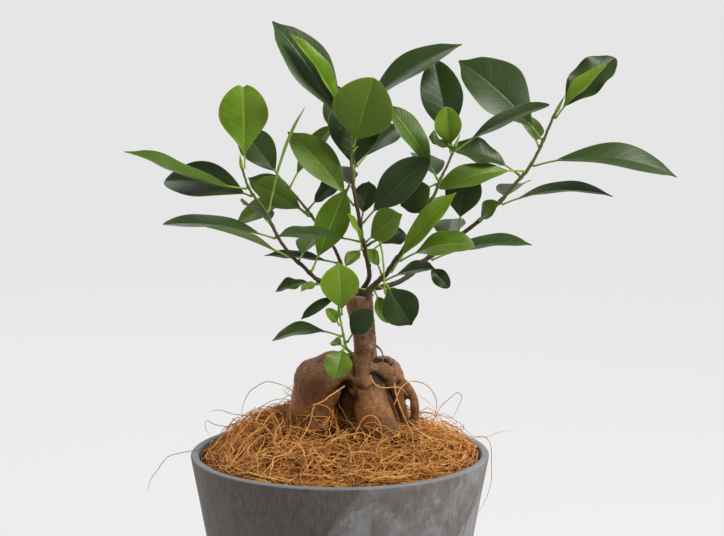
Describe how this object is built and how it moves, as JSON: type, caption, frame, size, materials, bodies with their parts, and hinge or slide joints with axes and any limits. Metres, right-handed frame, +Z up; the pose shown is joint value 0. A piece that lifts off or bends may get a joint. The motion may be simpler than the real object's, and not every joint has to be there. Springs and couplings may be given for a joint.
{
  "type": "bonsai tree in a pot",
  "caption": "Small grafted fig bonsai with swollen roots and oval leaves, in a tapered round pot filled with soil under a coir fibre mulch.",
  "frame": {"origin": "centre of the pot's underside", "axes": "+Z up, along the plant's height; -Y is the front of the plant; +X is its right"},
  "size_m": [0.3417, 0.1896, 0.4504],
  "materials": {
    "pot": "matt grey with pale marbling and fine vertical streaks",
    "soil": "loose dark earth, fully matt",
    "coir": "loose golden-brown coconut fibre",
    "bark": "smooth thin bark with pale flecks",
    "bark_young": "dark young bark, satin",
    "stem_green": "yellow-green shoot, satin",
    "leaf_mature": "dark green leaf with a waxy gloss",
    "leaf_medium": "mid green leaf with a soft gloss",
    "leaf_young": "bright yellow-green young leaf, thin and slightly translucent"
  },
  "bodies": {
    "root": {"pot": "pot", "potting_soil": "soil", "coir_mulch": "coir", "trunk_with_roots": "bark", "left_branch": "bark_young", "centre_branch": "bark_young", "back_branch": "bark_young", "right_branch": "bark_young", "outer_branch": "bark_young", "back_twig": "bark_young", "front_shoot": "stem_green", "water_shoot": "stem_green", "left_leaf_spoon": "leaf_young", "left_leaf_far": "leaf_medium", "left_leaf_rear": "leaf_mature", "left_leaf_blade": "leaf_medium", "left_leaf_low": "leaf_mature", "left_leaf_under": "leaf_medium", "left_leaf_bright": "leaf_young", "left_leaf_small": "leaf_mature", "back_leaf_far": "leaf_mature", "back_leaf_up": "leaf_medium", "back_leaf_olive": "leaf_medium", "back_leaf_dark": "leaf_mature", "back_leaf_pale": "leaf_medium", "back_leaf_crown": "leaf_mature", "back_leaf_rear": "leaf_mature", "crown_leaf_left": "leaf_mature", "crown_leaf_bright": "leaf_young", "crown_leaf_right": "leaf_mature", "crown_leaf_back": "leaf_mature", "centre_leaf_front": "leaf_medium", "centre_leaf_left": "leaf_medium", "centre_leaf_right": "leaf_mature", "centre_leaf_spade": "leaf_medium", "centre_leaf_low": "leaf_mature", "centre_leaf_under": "leaf_mature", "right_leaf_tall": "leaf_mature", "right_leaf_young": "leaf_young", "right_leaf_lance": "leaf_mature", "right_leaf_green": "leaf_medium", "right_leaf_droop": "leaf_mature", "right_leaf_bright": "leaf_young", "right_leaf_broad": "leaf_medium", "right_leaf_low": "leaf_mature", "outer_leaf_bright": "leaf_young", "outer_leaf_curled": "leaf_mature", "outer_leaf_big": "leaf_mature", "outer_leaf_long": "leaf_mature", "outer_leaf_left": "leaf_medium", "outer_leaf_folded": "leaf_mature", "outer_leaf_edge": "leaf_mature", "outer_leaf_up": "leaf_mature", "outer_leaf_dark": "leaf_mature", "outer_leaf_drop": "leaf_mature", "shoot_leaf_spade": "leaf_young", "shoot_leaf_left": "leaf_mature", "shoot_leaf_right": "leaf_mature", "shoot_leaf_low": "leaf_medium", "collar_leaf": "leaf_mature"}
  },
  "joints": []
}
